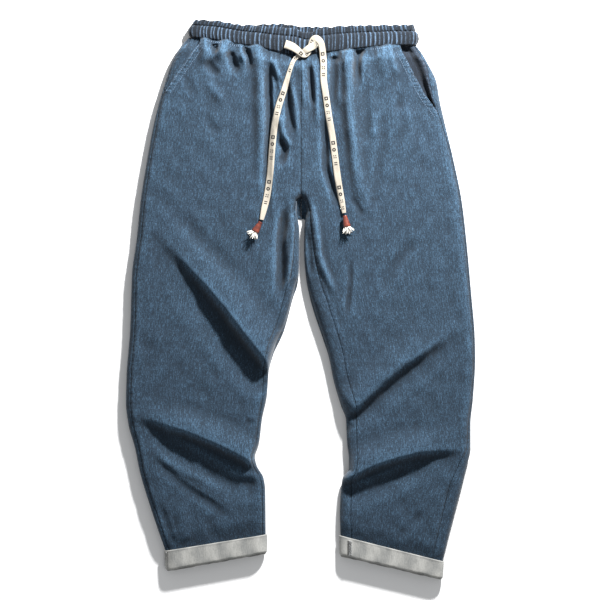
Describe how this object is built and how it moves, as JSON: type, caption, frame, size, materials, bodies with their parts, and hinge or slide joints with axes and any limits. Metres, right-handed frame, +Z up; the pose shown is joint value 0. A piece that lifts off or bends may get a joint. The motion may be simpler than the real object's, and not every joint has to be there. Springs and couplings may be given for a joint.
{
  "type": "elastic-waist drawstring jeans",
  "caption": "Loose tapered jeans laid flat on their back, with a ribbed elastic waistband, slanted pockets, turned-up cuffs and a flat cotton drawstring with bell ends and tassels.",
  "frame": {"origin": "middle of the garment's box at the surface that it lies on; the centre seam is on X = 0", "axes": "+X towards the garment's side that is on the picture's right, +Y towards the waist, +Z up from the surface, out of the front panels"},
  "size_m": [0.577, 0.9217, 0.0362],
  "materials": {
    "denim": "washed mid-blue denim twill, right side out, matt",
    "band_denim": "washed denim gathered over elastic, matt",
    "denim_wrong_side": "pale wrong side of denim, turned up, matt",
    "cotton_tape": null,
    "bell": "glossy red-brown",
    "cotton_locks": "frayed cotton yarn"
  },
  "bodies": {
    "root": {"front_left": "denim", "front_right": "denim", "back_left": "denim", "back_right": "denim", "pocket_facing_left": "denim", "pocket_facing_right": "denim", "waistband_front": "band_denim", "waistband_back": "band_denim", "cuff_left": "denim_wrong_side", "cuff_right": "denim_wrong_side", "drawstring_left": "cotton_tape", "drawstring_right": "cotton_tape", "cord_end_left": "bell", "cord_end_right": "bell", "tassel_left": "cotton_locks", "tassel_right": "cotton_locks"}
  },
  "joints": []
}
